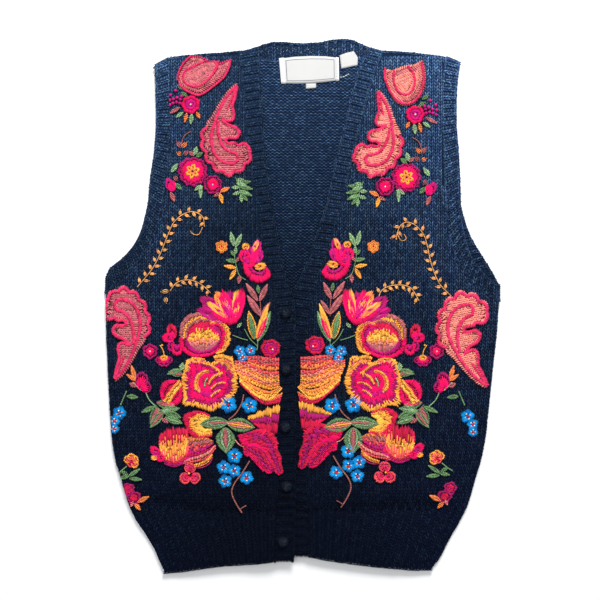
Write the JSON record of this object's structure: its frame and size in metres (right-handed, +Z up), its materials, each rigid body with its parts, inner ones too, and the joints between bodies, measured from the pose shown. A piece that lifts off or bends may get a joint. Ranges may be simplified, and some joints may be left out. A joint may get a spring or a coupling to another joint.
{
  "type": "sweater vest",
  "caption": "V-neck sweater vest with a buttoned front, in dark knit with wool flower embroidery and ribbed bands, laid flat on its back; worn over a shirt.",
  "frame": {"origin": "middle of the footprint, on the surface that the vest lies on", "axes": "+Y from the hem to the shoulders, +X towards the wearer's left side, +Z up from the surface, out of the front"},
  "size_m": [0.4638, 0.6257, 0.0216],
  "materials": {
    "knit": "soft matt worsted knit, near-black navy",
    "button_knit": "crocheted yarn over a button form, near-black",
    "embroidery": "soft crewel wool in pinks, reds, oranges, golds, greens and blue",
    "label_satin": "woven satin ribbon, off-white"
  },
  "bodies": {
    "root": {"back_panel": "knit", "front_right": "knit", "front_left": "knit", "hem_rib_back": "knit", "hem_rib_front_right": "knit", "hem_rib_front_left": "knit", "neck_band": "knit", "front_band_right": "knit", "front_band_left": "knit", "armhole_band_right": "knit", "armhole_band_left": "knit", "button_1": "button_knit", "button_2": "button_knit", "button_3": "button_knit", "button_4": "button_knit", "button_5": "button_knit", "neck_label": "label_satin", "care_label": "label_satin", "size_label": "label_satin"}
  },
  "joints": []
}
